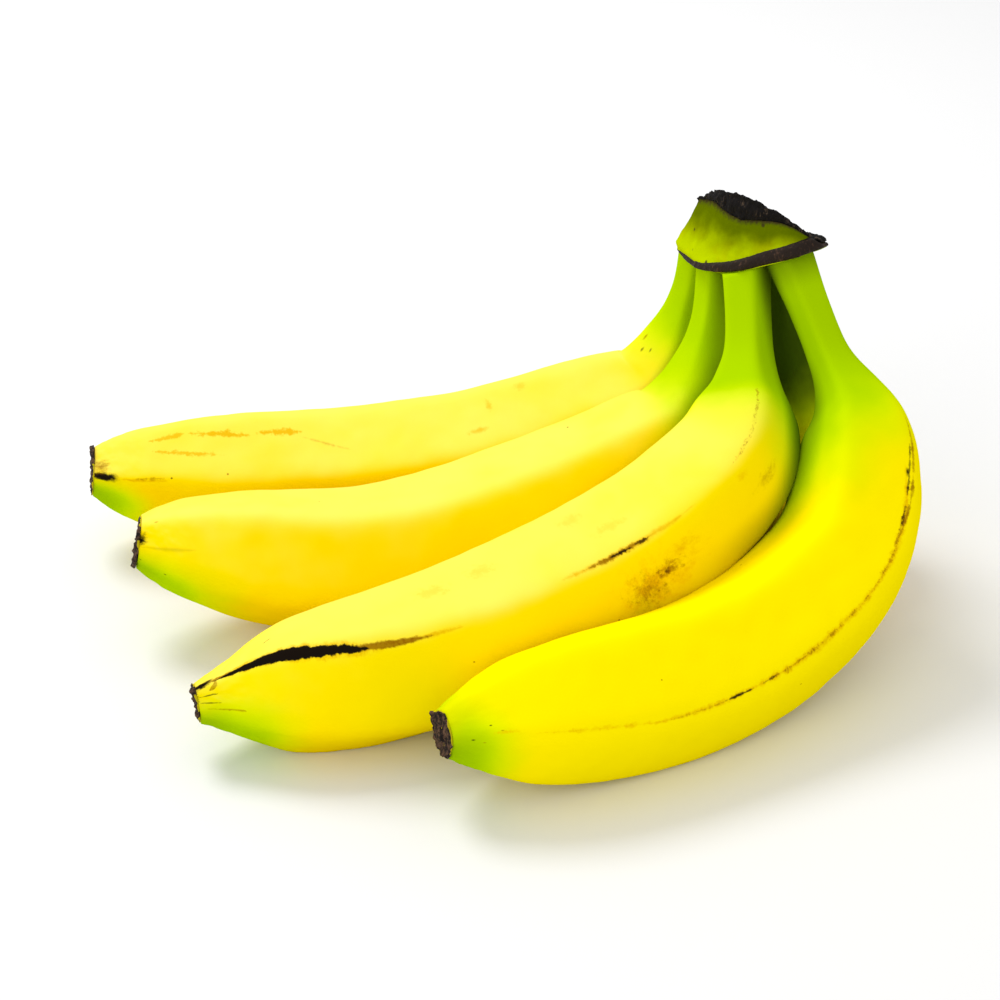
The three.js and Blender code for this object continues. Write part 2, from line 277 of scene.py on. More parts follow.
class Spine:
    """A finger's middle line, with the directions of its section at any share of its length."""

    def __init__(self, stations):
        self.stations = np.asarray(stations, float)
        self.curve = spline(self.stations, 200)
        lengths = np.linalg.norm(np.diff(self.curve, axis=0), axis=1)
        self.travelled = np.concatenate([[0], np.cumsum(lengths)])
        self.length = self.travelled[-1]
        offsets = self.stations - self.stations[0]
        self.normal = unit(sum(np.cross(a, b) for a, b in zip(offsets[1:-1], offsets[2:])))

    def points_at(self, way):
        return np.column_stack([np.interp(way, self.travelled, self.curve[:, k]) for k in range(3)])

    def at(self, share):
        way = np.atleast_1d(np.asarray(share, float)) * self.length
        step = 0.002 * self.length
        along = unit(self.points_at(way + step) - self.points_at(way - step))
        inside = unit(np.cross(self.normal, along))
        return self.points_at(way), along, inside, np.cross(along, inside)


def ridged_section(turn):
    """Radius of the five-ridged section, as a share of the finger's, at a turn from its first ridge."""
    total = 0
    for side in range(RIDGE_COUNT):
        facing = np.cos(turn - (side + 0.5) * 2 * math.pi / RIDGE_COUNT)
        total = total + np.maximum(facing, 0) ** RIDGE_SHARPNESS
    return total ** (-1 / RIDGE_SHARPNESS) / MEAN_SECTION


def ridge_turn(finger, share):
    return np.radians(finger["ridge"] + finger["twist"] * smoothstep(share, 0.5, 1))


def finger_radius(finger, share):
    neck = finger["neck"] + (1 - finger["neck"]) * smoothstep(share, *NECK_REACH)
    tip = 1 + (finger["tip"] - 1) * smoothstep(share, *TIP_REACH)
    return finger["girth"] * neck * tip * value_along(FINGER_PROFILE, share)


def lumps(points, size, seed, octaves=3):
    """Smooth noise from -1 to 1 at points in millimetres, with lumps of about that size."""
    shift = Vector((seed * 17.3, seed * 5.1, -seed * 9.7))
    flat = points.reshape(-1, 3) / size
    values = [noise.fractal(Vector(p) + shift, 0.6, 2.1, octaves) for p in flat]
    return np.array(values).reshape(points.shape[:-1])


RIM = spline(CROWN_RIM, 40, closed=True)


def rim_at(share):
    """Points of the crown's lower rim at shares of its stations, the way the solids read them."""
    place = (np.asarray(share) % 1) * len(RIM)
    low = np.floor(place).astype(int) % len(RIM)
    high = (low + 1) % len(RIM)
    w = (place - np.floor(place))[..., None]
    return RIM[low] * (1 - w) + RIM[high] * w


def crown_narrowing(height):
    share = np.clip(height / CROWN_TAPER_HEIGHT, 0, 1)
    return 1 - CROWN_TAPER * (1 - (1 - share) ** CROWN_TAPER_POWER)


def crown_wall(share, height, outwards=0.0):
    """Points of the crown's wall, round the rim by share, at a height above the rim."""
    spoke = rim_at(share) - CROWN_MIDDLE
    shift = outwards / np.hypot(spoke[..., 0], spoke[..., 1])
    scale = crown_narrowing(height) + shift
    wall = np.stack([spoke[..., 0] * scale, spoke[..., 1] * scale, spoke[..., 2] * (1 + shift) + height], -1)
    return CROWN_MIDDLE + wall


def plane_height(share):
    """Height of the cut's plane above the rim where it meets the wall."""
    share = np.asarray(share, float)
    rim = crown_wall(share, 0.0)
    height = np.full(share.shape, 10.0)
    for _ in range(12):
        wall = crown_wall(share, height)
        cut = CUT_HEIGHT + CUT_SLOPE[0] * wall[..., 0] + CUT_SLOPE[1] * wall[..., 1]
        height = np.maximum(cut - rim[..., 2], CROWN_LEAST_HEIGHT)
    return height


def cut_height(share):
    """Height of the green wall above the rim."""
    away = (np.asarray(share, float) - CUT_DIP["middle"]) / CUT_DIP["width"]
    dip = CUT_DIP["depth"] * np.exp(-0.5 * away**2)
    return np.maximum(plane_height(share) - dip, CROWN_LEAST_HEIGHT)


def crown_underside(points):
    """Height of the crown's underside above each point, a fan from the rim to the crown's middle."""
    order = np.arange(0, 1, 0.001)
    spokes = rim_at(order) - CROWN_MIDDLE
    angles = np.arctan2(spokes[:, 1], spokes[:, 0])
    row = np.argsort(angles)
    away = points[..., :2] - CROWN_MIDDLE[:2]
    angle = np.arctan2(away[..., 1], away[..., 0])
    reach = np.hypot(away[..., 0], away[..., 1])
    rim_reach = np.interp(angle, angles[row], np.hypot(spokes[row, 0], spokes[row, 1]), period=2 * math.pi)
    rim_rise = np.interp(angle, angles[row], spokes[row, 2], period=2 * math.pi)
    return CROWN_MIDDLE[2] + rim_rise * reach / rim_reach


# Meshes

def mesh_from_rings(name, rings):
    """One closed mesh through rings of points in millimetres, with a middle point in each end.

    Fine relief stays inside the box of the solids.
    """
    count, sides = rings.shape[:2]
    points = rings.reshape(-1, 3)
    faces = []
    for i in range(count - 1):
        for j in range(sides):
            k = (j + 1) % sides
            faces.append((i * sides + j, i * sides + k, (i + 1) * sides + k, (i + 1) * sides + j))
    for end, row in enumerate((0, count - 1)):
        middle = len(points) + end
        for j in range(sides):
            a, b = row * sides + j, row * sides + (j + 1) % sides
            faces.append((middle, b, a) if end == 0 else (middle, a, b))
    points = np.vstack([points, rings[0].mean(0), rings[-1].mean(0)])
    points = np.clip(metres(points), cad_box[0], cad_box[1])
    mesh = bpy.data.meshes.new(name)
    mesh.from_pydata(points.tolist(), [], faces)
    mesh.update()
    mesh.shade_smooth()
    volume = sum(mesh.vertices[p.vertices[0]].co.dot(p.normal) * p.area for p in mesh.polygons)
    if volume < 0:
        mesh.flip_normals()
    return mesh


def push_out(places, middle, heights):
    """Moves points sideways away from a middle."""
    spoke = places - middle
    spoke[..., 2] = 0
    return places + unit(spoke) * heights[..., None]


def add_piece(name, mesh, material, slot, *nodes):
    """Puts a mesh in the scene as a piece that replaces solids of the frame."""
    piece = bpy.data.objects.new(name, mesh)
    bpy.context.scene.collection.objects.link(piece)
    mesh.materials.append(material)
    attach(piece, "root")
    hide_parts(*nodes)


def point_values(mesh, name, values, first, last):
    """Stores a value on each point of a ring-built mesh, and on the middle points of its two ends."""
    attribute = mesh.attributes.new(name, "FLOAT", "POINT")
    attribute.data.foreach_set("value", np.concatenate([values.ravel(), [first, last]]).astype(np.float32))


def peel_places(mesh, round_place, along_place, sides):
    """Stores on each face corner how far round and along the peel it lies, in millimetres."""
    attribute = mesh.attributes.new("peel_place", "FLOAT_VECTOR", "CORNER")
    last_column = sides - 1
    whole_turn = 2 * math.pi * BELLY_RADIUS
    values = []
    for polygon in mesh.polygons:
        corners = [mesh.loops[k].vertex_index for k in polygon.loop_indices]
        columns = [v % sides for v in corners if v < len(round_place)]
        wraps = last_column in columns and 0 in columns
        for v in corners:
            if v >= len(round_place):
                values.append((0.0, 0.0, 0.0))
                continue
            turned = round_place[v]
            if wraps and v % sides == 0:
                turned += whole_turn
            values.append((turned, along_place[v], 0.0))
    attribute.data.foreach_set("vector", np.asarray(values, np.float32).ravel())


# Shader helpers

def node(tree, kind, inputs=None, **settings):
    """Adds a node with its settings, then links or sets its inputs by name or number."""
    made = tree.nodes.new(kind)
    for key, value in settings.items():
        setattr(made, key, value)
    for key, value in (inputs or {}).items():
        if isinstance(value, bpy.types.NodeSocket):
            tree.links.new(value, made.inputs[key])
        else:
            made.inputs[key].default_value = value
    return made


def calc(tree, operation, *values, clamp=False):
    numbered = dict(enumerate(values))
    return node(tree, "ShaderNodeMath", numbered, operation=operation, use_clamp=clamp).outputs[0]


def vector_calc(tree, operation, *values):
    numbered = dict(enumerate(values))
    result = node(tree, "ShaderNodeVectorMath", numbered, operation=operation)
    return result.outputs["Value" if operation in {"DOT_PRODUCT", "LENGTH"} else "Vector"]


def scaled(tree, vector, factor):
    inputs = {0: vector, "Scale": factor}
    return node(tree, "ShaderNodeVectorMath", inputs, operation="SCALE").outputs[0]


def step_between(tree, value, low, high):
    """A smooth step of a value between two limits."""
    inputs = {"Value": value, "From Min": low, "From Max": high}
    return node(tree, "ShaderNodeMapRange", inputs, interpolation_type="SMOOTHSTEP").outputs["Result"]


def opaque(colour):
    return colour if isinstance(colour, bpy.types.NodeSocket) else (*colour, 1.0)


def blend_colours(tree, factor, under, over):
    """A mix of two colours, each a socket or three numbers."""
    inputs = {0: factor, 6: opaque(under), 7: opaque(over)}
    return node(tree, "ShaderNodeMix", inputs, data_type="RGBA").outputs[2]


def cloud(tree, place, size, detail=3.0, roughness=0.55):
    """Noise from 0 to 1 with lumps of a size in the units of place."""
    inputs = {"Vector": place, "Scale": 1 / size, "Detail": detail, "Roughness": roughness}
    return node(tree, "ShaderNodeTexNoise", inputs).outputs[0]


def read_value(tree, name):
    return node(tree, "ShaderNodeAttribute", attribute_name=name).outputs["Fac"]


def place_in_mm(tree):
    """Where a point lies in the object's own frame, in millimetres."""
    return scaled(tree, node(tree, "ShaderNodeTexCoord").outputs["Object"], 1 / MM)


def new_group(name, inputs, outputs):
    """An empty node group, with its inner ends. Inputs are vectors and numbers, and outputs are numbers."""
    group = bpy.data.node_groups.new(name, "ShaderNodeTree")
    for label, default in inputs.items():
        kind = "NodeSocketVector" if isinstance(default, tuple) else "NodeSocketFloat"
        group.interface.new_socket(label, in_out="INPUT", socket_type=kind).default_value = default
    for label in outputs:
        group.interface.new_socket(label, in_out="OUTPUT", socket_type="NodeSocketFloat")
    return group, group.nodes.new("NodeGroupInput").outputs, group.nodes.new("NodeGroupOutput").inputs


def use_group(tree, name, inputs):
    return node(tree, "ShaderNodeGroup", inputs, node_tree=bpy.data.node_groups[name]).outputs


def frayed_edge(group, depth, place, swing, enter):
    """A soft edge where a depth, made uneven by noise, rises above zero."""
    ragged = calc(group, "MULTIPLY_ADD", cloud(group, place, 3.0, 6.0, 0.75), swing, -swing / 2)
    uneven = calc(group, "MULTIPLY_ADD", ragged, enter["Fray"], depth)
    return step_between(group, uneven, 0.0, enter["Softness"])


def build_streak_group():
    """A frayed line on the peel, which may be broken into stipple."""
    group, enter, leave = new_group(
        "Peel Streak",
        {
            "Place": (0, 0, 0), "From": (0, 0, 0), "To": (0, 10, 0), "Half Width": 1.0, "Fray": 0.5,
            "Softness": 0.4, "Stipple": 0.0,
        },
        ["Mask"],
    )
    way = vector_calc(group, "SUBTRACT", enter["To"], enter["From"])
    offset = vector_calc(group, "SUBTRACT", enter["Place"], enter["From"])
    travelled = vector_calc(group, "DOT_PRODUCT", offset, way)
    reach = calc(group, "DIVIDE", travelled, vector_calc(group, "DOT_PRODUCT", way, way), clamp=True)
    miss = vector_calc(group, "LENGTH", vector_calc(group, "SUBTRACT", offset, scaled(group, way, reach)))
    from_middle = calc(group, "MULTIPLY_ADD", reach, 2.0, -1.0)
    taper = calc(group, "SQRT", calc(group, "SUBTRACT", 1.0, calc(group, "POWER", from_middle, 2.0)))
    half = calc(group, "MULTIPLY", enter["Half Width"], taper)
    line = frayed_edge(group, calc(group, "SUBTRACT", half, miss), enter["Place"], 5.0, enter)
    patches = calc(group, "MULTIPLY", cloud(group, enter["Place"], 3.5, 2.0, 0.6), 0.6)
    grains = calc(group, "MULTIPLY_ADD", cloud(group, enter["Place"], 0.7, 2.0, 0.7), 0.6, patches)
    grains = step_between(group, grains, 0.54, 0.68)
    broken = calc(group, "MULTIPLY", line, grains)
    mixed = node(group, "ShaderNodeMix", {0: enter["Stipple"], 2: line, 3: broken}, data_type="FLOAT")
    group.links.new(mixed.outputs[0], leave["Mask"])


def build_blotch_group():
    """A cloudy oval bruise on the peel."""
    group, enter, leave = new_group(
        "Peel Blotch",
        {
            "Place": (0, 0, 0), "Centre": (0, 0, 0), "Size": (3, 3, 1), "Fray": 0.5, "Softness": 0.5,
            "Grain": 1.5,
        },
        ["Mask"],
    )
    offset = vector_calc(group, "SUBTRACT", enter["Place"], enter["Centre"])
    reach = vector_calc(group, "LENGTH", vector_calc(group, "DIVIDE", offset, enter["Size"]))
    finer = scaled(group, enter["Place"], enter["Grain"])
    oval = frayed_edge(group, calc(group, "SUBTRACT", 1.0, reach), finer, 4.0, enter)
    group.links.new(oval, leave["Mask"])


def build_speck_group():
    """Small dark specks, thinly scattered."""
    inputs = {"Place": (0, 0, 0), "Spacing": 5.0, "Radius": 0.3, "Share": 0.3}
    group, enter, leave = new_group("Specks", inputs, ["Mask"])
    place = scaled(group, enter["Place"], calc(group, "DIVIDE", 1.0, enter["Spacing"]))
    cells = node(group, "ShaderNodeTexVoronoi", {"Vector": place, "Scale": 1.0})
    radius = calc(group, "DIVIDE", enter["Radius"], enter["Spacing"])
    spot = step_between(group, cells.outputs["Distance"], radius, calc(group, "MULTIPLY", radius, 0.4))
    parts = node(group, "ShaderNodeSeparateColor", {0: cells.outputs["Color"]})
    chosen = calc(group, "LESS_THAN", parts.outputs[0], enter["Share"])
    group.links.new(calc(group, "MULTIPLY", spot, chosen), leave["Mask"])


def build_grain_group():
    """Fine relief and mottle of a plant's skin: a height and a slow change of tone."""
    inputs = {"Place": (0, 0, 0), "Grain": 0.6, "Mottle": 20.0}
    group, enter, leave = new_group("Skin Grain", inputs, ["Height", "Tone"])
    for size, detail, output in (("Grain", 0.6, "Height"), ("Mottle", 0.5, "Tone")):
        place = scaled(group, enter["Place"], calc(group, "DIVIDE", 1.0, enter[size]))
        group.links.new(cloud(group, place, 1.0, 3.0, detail), leave[output])


def new_material(name, roughness, specular=0.5):
    material = bpy.data.materials.new(name)
    material.use_nodes = True
    tree = material.node_tree
    shader = tree.nodes["Principled BSDF"]
    shader.inputs["Roughness"].default_value = roughness
    shader.inputs["Specular IOR Level"].default_value = specular
    return material, tree, shader


def add_bump(tree, shader, height, strength, distance_mm):
    inputs = {"Height": height, "Strength": strength, "Distance": distance_mm * MM}
    tree.links.new(node(tree, "ShaderNodeBump", inputs).outputs[0], shader.inputs["Normal"])


# Materials

def streak(start, end, width, colour, strength, fray=0.5, soft=0.4, stipple=0.0):
    """A frayed line between two places of the peel. width is half its breadth in the middle."""
    inputs = {
        "From": (*start, 0), "To": (*end, 0), "Half Width": width, "Fray": fray, "Softness": soft,
        "Stipple": stipple,
    }
    return "Peel Streak", inputs, colour, strength


def blotch(place, size, colour, strength, fray=0.6, soft=0.9, grain=1.5):
    """A ragged oval at a place of the peel. size holds its half breadths round and along."""
    inputs = {"Centre": (*place, 0), "Size": (*size, 1), "Fray": fray, "Softness": soft, "Grain": grain}
    return "Peel Blotch", inputs, colour, strength


def dot(place, radius, colour, strength=0.9):
    """A small round speck at a place of the peel."""
    return blotch(place, (radius, radius), colour, strength, fray=0.1)


# Marks of each finger's peel. A place is how far round the peel it lies from its hidden seam, and how far
# along from the root, in millimetres.
MARKS = {
    1: [
        streak((66, 214), (68, 204), 1.2, "tan_mark", 0.8, fray=1.1, soft=1.0),
        streak((67.8, 203), (65, 184), 1.3, "tan_mark", 0.9, fray=1.2, soft=1.0),
        streak((66, 183), (65.5, 168), 1.4, "tan_mark", 0.9, fray=1.2, soft=1.0),
        streak((64, 169), (57.5, 153), 0.7, "brown_mark", 0.4, fray=0.5, soft=0.9),
        streak((61.5, 213), (58.8, 192), 1.1, "tan_mark", 0.8, fray=1.3, soft=1.0),
        streak((48.9, 224), (50, 208), 0.7, "tan_mark", 0.8, fray=0.6, soft=0.8),
        streak((49.9, 217), (50.9, 209), 0.7, "brown_mark", 0.55, fray=0.7, soft=0.9),
        dot((51, 207.1), 0.5, "black_mark"),
        dot((52.6, 191.4), 0.45, "brown_mark"),
        blotch((57.1, 116), (1.3, 3.5), "tan_mark", 0.7),
        blotch((64.9, 111), (3, 1.3), "tan_mark", 0.6),
        blotch((68.5, 99.5), (2, 2.5), "tan_mark", 0.4),
        blotch((74, 41.1), (1.1, 2.4), "brown_mark", 0.9),
        blotch((67.8, 44.3), (1, 1.6), "brown_mark", 0.7),
        blotch((64.6, 48.3), (0.9, 1.4), "black_mark", 0.7, fray=0.3),
        blotch((60.4, 47.3), (0.7, 1.1), "black_mark", 0.7, fray=0.3),
        blotch((49.3, 225.6), (3.2, 5), "black_mark", 1, fray=0.3, soft=0.6),
        blotch((55.5, 226.4), (6.5, 3.2), "brown_mark", 0.9, soft=1.2),
    ],
    2: [
        dot((34.4, 214), 0.45, "black_mark"),
        dot((32.8, 207.2), 0.55, "black_mark"),
        dot((75.3, 88.1), 0.5, "black_mark"),
        dot((68.5, 168), 0.35, "brown_mark", 0.8),
        blotch((58, 211), (0.5, 0.7), "brown_mark", 0.6, fray=0.2),
        streak((43, 214), (46, 200), 1.6, "painted_shade_and_mark_green", 0.3, fray=0.3, soft=2.0),
        blotch((48, 214.2), (6, 2), "black_mark", 1, fray=0.5),
    ],
    3: [
        streak((53.5, 218), (49.4, 176), 2.8, "tan_mark", 0.75, fray=1.0, soft=1.2, stipple=0.5),
        streak((50.6, 173), (51.4, 157), 0.8, "tan_mark", 0.8, soft=0.8, stipple=0.3),
        streak((49.8, 192), (50.9, 164), 1.1, "brown_mark", 1, fray=0.4, soft=0.6, stipple=0.1),
        streak((54.2, 219), (52.6, 211), 1.5, "brown_mark", 0.85, fray=0.8, soft=0.8, stipple=0.4),
        streak((52.8, 217), (49.9, 179), 1.7, "black_mark", 1, fray=0.5, soft=0.45),
        streak((52.4, 212), (50.4, 186), 2.0, "black_mark", 1, fray=0.5, soft=0.45),
        streak((52.5, 216), (47.3, 217.2), 0.8, "brown_mark", 0.8, fray=0.8, stipple=0.3),
        streak((63.6, 201), (61.7, 204), 0.45, "black_mark", 0.95, fray=0.3),
        streak((54.4, 130), (53.5, 85), 1.2, "tan_mark", 0.8, soft=1.0, stipple=0.2),
        streak((54.3, 123), (53.7, 96), 0.9, "brown_mark", 0.95, fray=0.6, soft=0.7, stipple=0.1),
        streak((54.1, 113), (53.7, 104), 0.55, "black_mark", 0.95, fray=0.5),
        streak((53.9, 103), (53.6, 97), 0.5, "black_mark", 0.8, fray=0.6),
        blotch((41.8, 103), (9.5, 15), "tan_mark", 1, fray=0.7, soft=1.6, grain=0.8),
        blotch((40.8, 106), (6.5, 8.5), "brown_mark", 0.95, fray=0.9, soft=1.7),
        blotch((43.3, 98), (3.6, 5), "brown_mark", 0.95, fray=0.9, soft=1.3),
        blotch((43.3, 98.5), (1.1, 1.3), "black_mark", 0.6, fray=0.9, soft=1.4),
        blotch((46.5, 92.5), (3, 6), "tan_mark", 0.7, fray=0.9, soft=1.6),
        blotch((42.6, 68), (3, 4.5), "brown_mark", 0.6, fray=0.9, soft=1.8),
        blotch((50.3, 72), (1.6, 2), "tan_mark", 0.6, fray=0.8, soft=1.5),
        streak((54.9, 50), (54, 72), 0.6, "brown_mark", 0.55, fray=0.9, stipple=0.9),
        blotch((64.9, 159), (3.2, 6), "tan_mark", 0.3, fray=0.8),
        blotch((66.5, 145), (3, 5), "tan_mark", 0.28, fray=0.8),
        blotch((69.8, 114.7), (2.5, 5), "tan_mark", 0.25, fray=0.8),
        blotch((62, 106), (2.2, 8), "tan_mark", 0.25, fray=0.8),
        dot((42.5, 157), 0.35, "brown_mark"),
        dot((38, 117.6), 0.4, "brown_mark"),
        blotch((54.5, 220), (4, 4), "black_mark", 1, fray=0.4, soft=0.6),
        blotch((46, 221.3), (8, 0.9), "black_mark", 0.9, fray=0.7),
        streak((45.5, 220.8), (44.5, 216), 0.6, "black_mark", 0.7, fray=0.5),
        streak((40, 220.8), (38.5, 215.5), 0.6, "black_mark", 0.7, fray=0.5),
        streak((35, 219), (34, 210), 0.5, "brown_mark", 0.6, fray=0.6, stipple=0.3),
    ],
    4: [
        streak((43.2, 192), (41.8, 158), 0.8, "tan_mark", 0.7, fray=0.7, soft=1.0, stipple=0.5),
        streak((41.8, 165), (43.4, 133), 1.0, "tan_mark", 0.8, fray=0.7, soft=1.0, stipple=0.3),
        streak((43.2, 142), (45.2, 88), 1.3, "tan_mark", 0.85, fray=0.8, soft=1.2, stipple=0.4),
        streak((45, 98), (46.5, 62), 1.3, "tan_mark", 0.85, fray=0.8, soft=1.2, stipple=0.3),
        streak((41.8, 160), (42.8, 144), 0.4, "brown_mark", 0.8, fray=0.5, soft=0.6, stipple=0.4),
        streak((43.5, 134), (45, 96), 0.6, "brown_mark", 0.8, fray=0.9, soft=0.8, stipple=0.75),
        streak((45, 97), (46.4, 72), 0.7, "brown_mark", 0.8, fray=0.9, soft=0.8, stipple=0.7),
        streak((46.4, 84), (42.5, 50), 0.7, "brown_mark", 0.85, fray=0.6, soft=0.7, stipple=0.3),
        streak((42.8, 145), (43.2, 136.5), 0.45, "black_mark", 0.95, fray=0.35),
        streak((43.3, 134), (43.7, 130), 0.35, "black_mark", 0.8, fray=0.4, stipple=0.3),
        streak((46.2, 70), (44.4, 57), 0.5, "black_mark", 0.9, fray=0.4, stipple=0.3),
        blotch((45.9, 64), (0.8, 1.6), "black_mark", 0.95, fray=0.3),
        streak((46.4, 80), (46.3, 72), 0.45, "black_mark", 0.75, fray=0.4, stipple=0.5),
        dot((47.7, 201), 0.45, "black_mark", 0.95),
        blotch((41.9, 205.2), (0.6, 0.6), "black_mark", 0.95, fray=0.2),
        blotch((40.3, 202.8), (0.35, 0.5), "brown_mark", 0.7, fray=0.3),
        blotch((44.4, 198), (1.2, 3.5), "tan_mark", 0.7, fray=0.9, soft=1.5, grain=3),
        blotch((45.1, 198.9), (0.3, 0.6), "brown_mark", 0.7, fray=0.4),
        dot((51.3, 158.8), 0.35, "brown_mark", 0.8),
        dot((36.4, 122.7), 0.4, "brown_mark"),
    ],
    5: [],
}


def add_specks(tree, colour, dark, strength, inputs):
    """A colour with small dark specks over it."""
    specks = use_group(tree, "Specks", inputs)["Mask"]
    return blend_colours(tree, calc(tree, "MULTIPLY", specks, strength), colour, dark)


def peel_material(number, settings):
    """Waxy peel, yellow with a green neck and tip, this finger's own marks, and painted light and shade."""
    finger = FINGERS[number]
    material, tree, shader = new_material(f"peel_{number}", settings.roughness, 0.0)
    place = place_in_mm(tree)
    grain = use_group(tree, "Skin Grain", {"Place": place, "Grain": 0.7, "Mottle": 22.0})
    tone = grain["Tone"]
    # Painted light: peel that faces up is painted lighter and paler, and peel that faces down deeper orange,
    # mixed with the random tone.
    facing_up = read_value(tree, "painted_light_side")
    tone_and_painted_light = step_between(tree, calc(tree, "MULTIPLY_ADD", tone, 0.5, facing_up), 0.35, 1.15)
    painted_highlight = step_between(tree, calc(tree, "MULTIPLY_ADD", tone, 0.3, facing_up), 0.85, 1.2)
    painted_highlight = calc(tree, "MULTIPLY", painted_highlight, finger["painted_highlight"])
    yellow = blend_colours(tree, tone_and_painted_light, settings.painted_shade_yellow, settings.yellow)
    yellow = blend_colours(tree, finger["lemon"], yellow, settings.lemon_yellow)
    yellow = blend_colours(tree, painted_highlight, yellow, settings.painted_highlight_yellow)

    uneven = calc(tree, "MULTIPLY_ADD", tone, 0.5, -0.25)
    share = calc(tree, "ADD", read_value(tree, "green"), uneven, clamp=True)
    # The hidden finger's green is painted shade: it is darkened because it stands in the shade between the
    # others.
    deep_green = settings.painted_shade_and_mark_green if number == HIDDEN_FINGER else settings.green
    green = blend_colours(tree, step_between(tree, share, 0.5, 1.0), settings.pale_green, deep_green)
    colour = blend_colours(tree, step_between(tree, share, 0.1, 0.8), yellow, green)
    # Painted shade: the peel is darkened towards dark green where other fingers stand close, under the tip
    # and at the root.
    painted_shade = calc(tree, "MULTIPLY", read_value(tree, "painted_shade"), 0.8)
    colour = blend_colours(tree, painted_shade, colour, settings.painted_shade_and_mark_green)

    peel_place = node(tree, "ShaderNodeAttribute", attribute_name="peel_place").outputs["Vector"]
    rough = 0.0
    for group, inputs, mark_colour, strength in MARKS[number]:
        mask = use_group(tree, group, {"Place": peel_place, **inputs})["Mask"]
        mask = calc(tree, "MULTIPLY", mask, strength)
        colour = blend_colours(tree, mask, colour, getattr(settings, mark_colour))
        rough = calc(tree, "ADD", rough, mask, clamp=True)
    specks = {"Place": place, "Spacing": 11.0, "Radius": 0.5, "Share": 0.16}
    colour = add_specks(tree, colour, settings.brown_mark, 0.6, specks)
    tree.links.new(colour, shader.inputs["Base Color"])
    if MARKS[number]:
        roughness = calc(tree, "MULTIPLY_ADD", rough, 0.35, settings.roughness)
        tree.links.new(roughness, shader.inputs["Roughness"])
    add_bump(tree, shader, grain["Height"], 0.25, 0.12)
    return material


def blossom_material(settings):
    """Dry, black-brown end of a finger, creased lengthwise, olive where it meets the peel."""
    material, tree, shader = new_material("blossom_end", 0.75, 0.15)
    place = place_in_mm(tree)
    crumbs = cloud(tree, place, 1.1, 4.0, 0.65)
    uneven = calc(tree, "MULTIPLY_ADD", cloud(tree, place, 4.0, 2.0), 0.5, -0.25)
    dark = blend_colours(tree, step_between(tree, crumbs, 0.42, 0.66), settings.black, settings.brown)
    base = step_between(tree, calc(tree, "ADD", read_value(tree, "olive"), uneven), 0.4, 0.75)
    tree.links.new(blend_colours(tree, base, dark, settings.olive), shader.inputs["Base Color"])
    add_bump(tree, shader, crumbs, 0.8, 0.35)
    return material


def crown_material(settings):
    """Green stalk: yellow-green in its middle, olive above, with dark specks."""
    material, tree, shader = new_material("crown_green", 0.5, 0.0)
    place = place_in_mm(tree)
    grain = use_group(tree, "Skin Grain", {"Place": place, "Grain": 0.8, "Mottle": 9.0})
    rise = read_value(tree, "rise")
    uneven = calc(tree, "ADD", rise, calc(tree, "MULTIPLY_ADD", grain["Tone"], 0.8, -0.4))
    bright = step_between(tree, grain["Tone"], 0.45, 0.7)
    colour = blend_colours(tree, bright, settings.green, settings.yellow_green)
    colour = blend_colours(tree, step_between(tree, uneven, 0.1, 0.85), colour, settings.olive)
    crusted = step_between(tree, calc(tree, "MULTIPLY_ADD", grain["Height"], 0.14, rise), 0.94, 1.08)
    colour = blend_colours(tree, crusted, colour, settings.dark)
    specks = {"Place": place, "Spacing": 4.0, "Radius": 0.75, "Share": 0.6}
    colour = add_specks(tree, colour, settings.dark, 0.85, specks)
    tree.links.new(colour, shader.inputs["Base Color"])
    add_bump(tree, shader, grain["Height"], 0.5, 0.2)
    return material


def dry_material(name, dark, light, roughness, size, stretch):
    """Dead, dried tissue: near-black with paler fibres that run along one direction."""
    material, tree, shader = new_material(name, roughness, 0.12)
    place = place_in_mm(tree)
    fibre = cloud(tree, vector_calc(tree, "MULTIPLY", place, stretch), size, 4.0, 0.7)
    patches = step_between(tree, cloud(tree, place, size * 4, 2.0), 0.35, 0.65)
    share = calc(tree, "MULTIPLY", step_between(tree, fibre, 0.52, 0.72), patches)
    tree.links.new(blend_colours(tree, share, dark, light), shader.inputs["Base Color"])
    add_bump(tree, shader, fibre, 0.9, 0.4)
    return material


# Pieces

def seam_turn(finger, spine):
    """Turn from the first ridge to the hidden underside, where the peel's own places start."""
    middle, along, inside, across = spine.at(0.5)
    hidden = np.array([0, 0.6, -0.8])
    turn = math.atan2(float(across[0] @ hidden), float(inside[0] @ hidden))
    return turn - float(ridge_turn(finger, 0.5))


def shelter(number, places, outward):
    """How close other fingers stand before each point of a finger's skin, from 0 to 1."""
    before = places + SHELTER_REACH * outward
    nearest = np.full(places.shape[:2], np.inf)
    shares = np.linspace(0, 0.7, 60)
    for other, finger in FINGERS.items():
        if other == number:
            continue
        middles = Spine(finger["spine"]).at(shares)[0]
        for middle, radius in zip(middles, finger_radius(finger, shares)):
            nearest = np.minimum(nearest, np.linalg.norm(before - middle, axis=-1) - radius)
    return 1 - smoothstep(nearest, SHELTER_NEAR, SHELTER_FAR)


def skin_normals(places, outward):
    """The direction that each point of a ring-built skin faces."""
    round_step = np.roll(places, -1, 1) - np.roll(places, 1, 1)
    along_step = np.gradient(places, axis=0)
    normals = unit(np.cross(round_step, along_step) + 1e-6 * outward)
    return normals * np.sign((normals * outward).sum(-1, keepdims=True))


def skin_relief(finger, number, places, share, inner_side, height):
    """How far the peel stands out from the solid's form, in millimetres."""
    relief = height * lumps(places, UNEVENNESS_SIZE, number) * smoothstep(share, 0.1, 0.3)
    relief += finger["web"] * np.exp(-(((share - WEB_PLACE) / WEB_WIDTH) ** 2)) * inner_side**2
    tip = smoothstep(share, 0.9, 0.98)
    return relief + tip * TIP_LUMP_HEIGHT * lumps(places, TIP_LUMP_SIZE, number + 10)


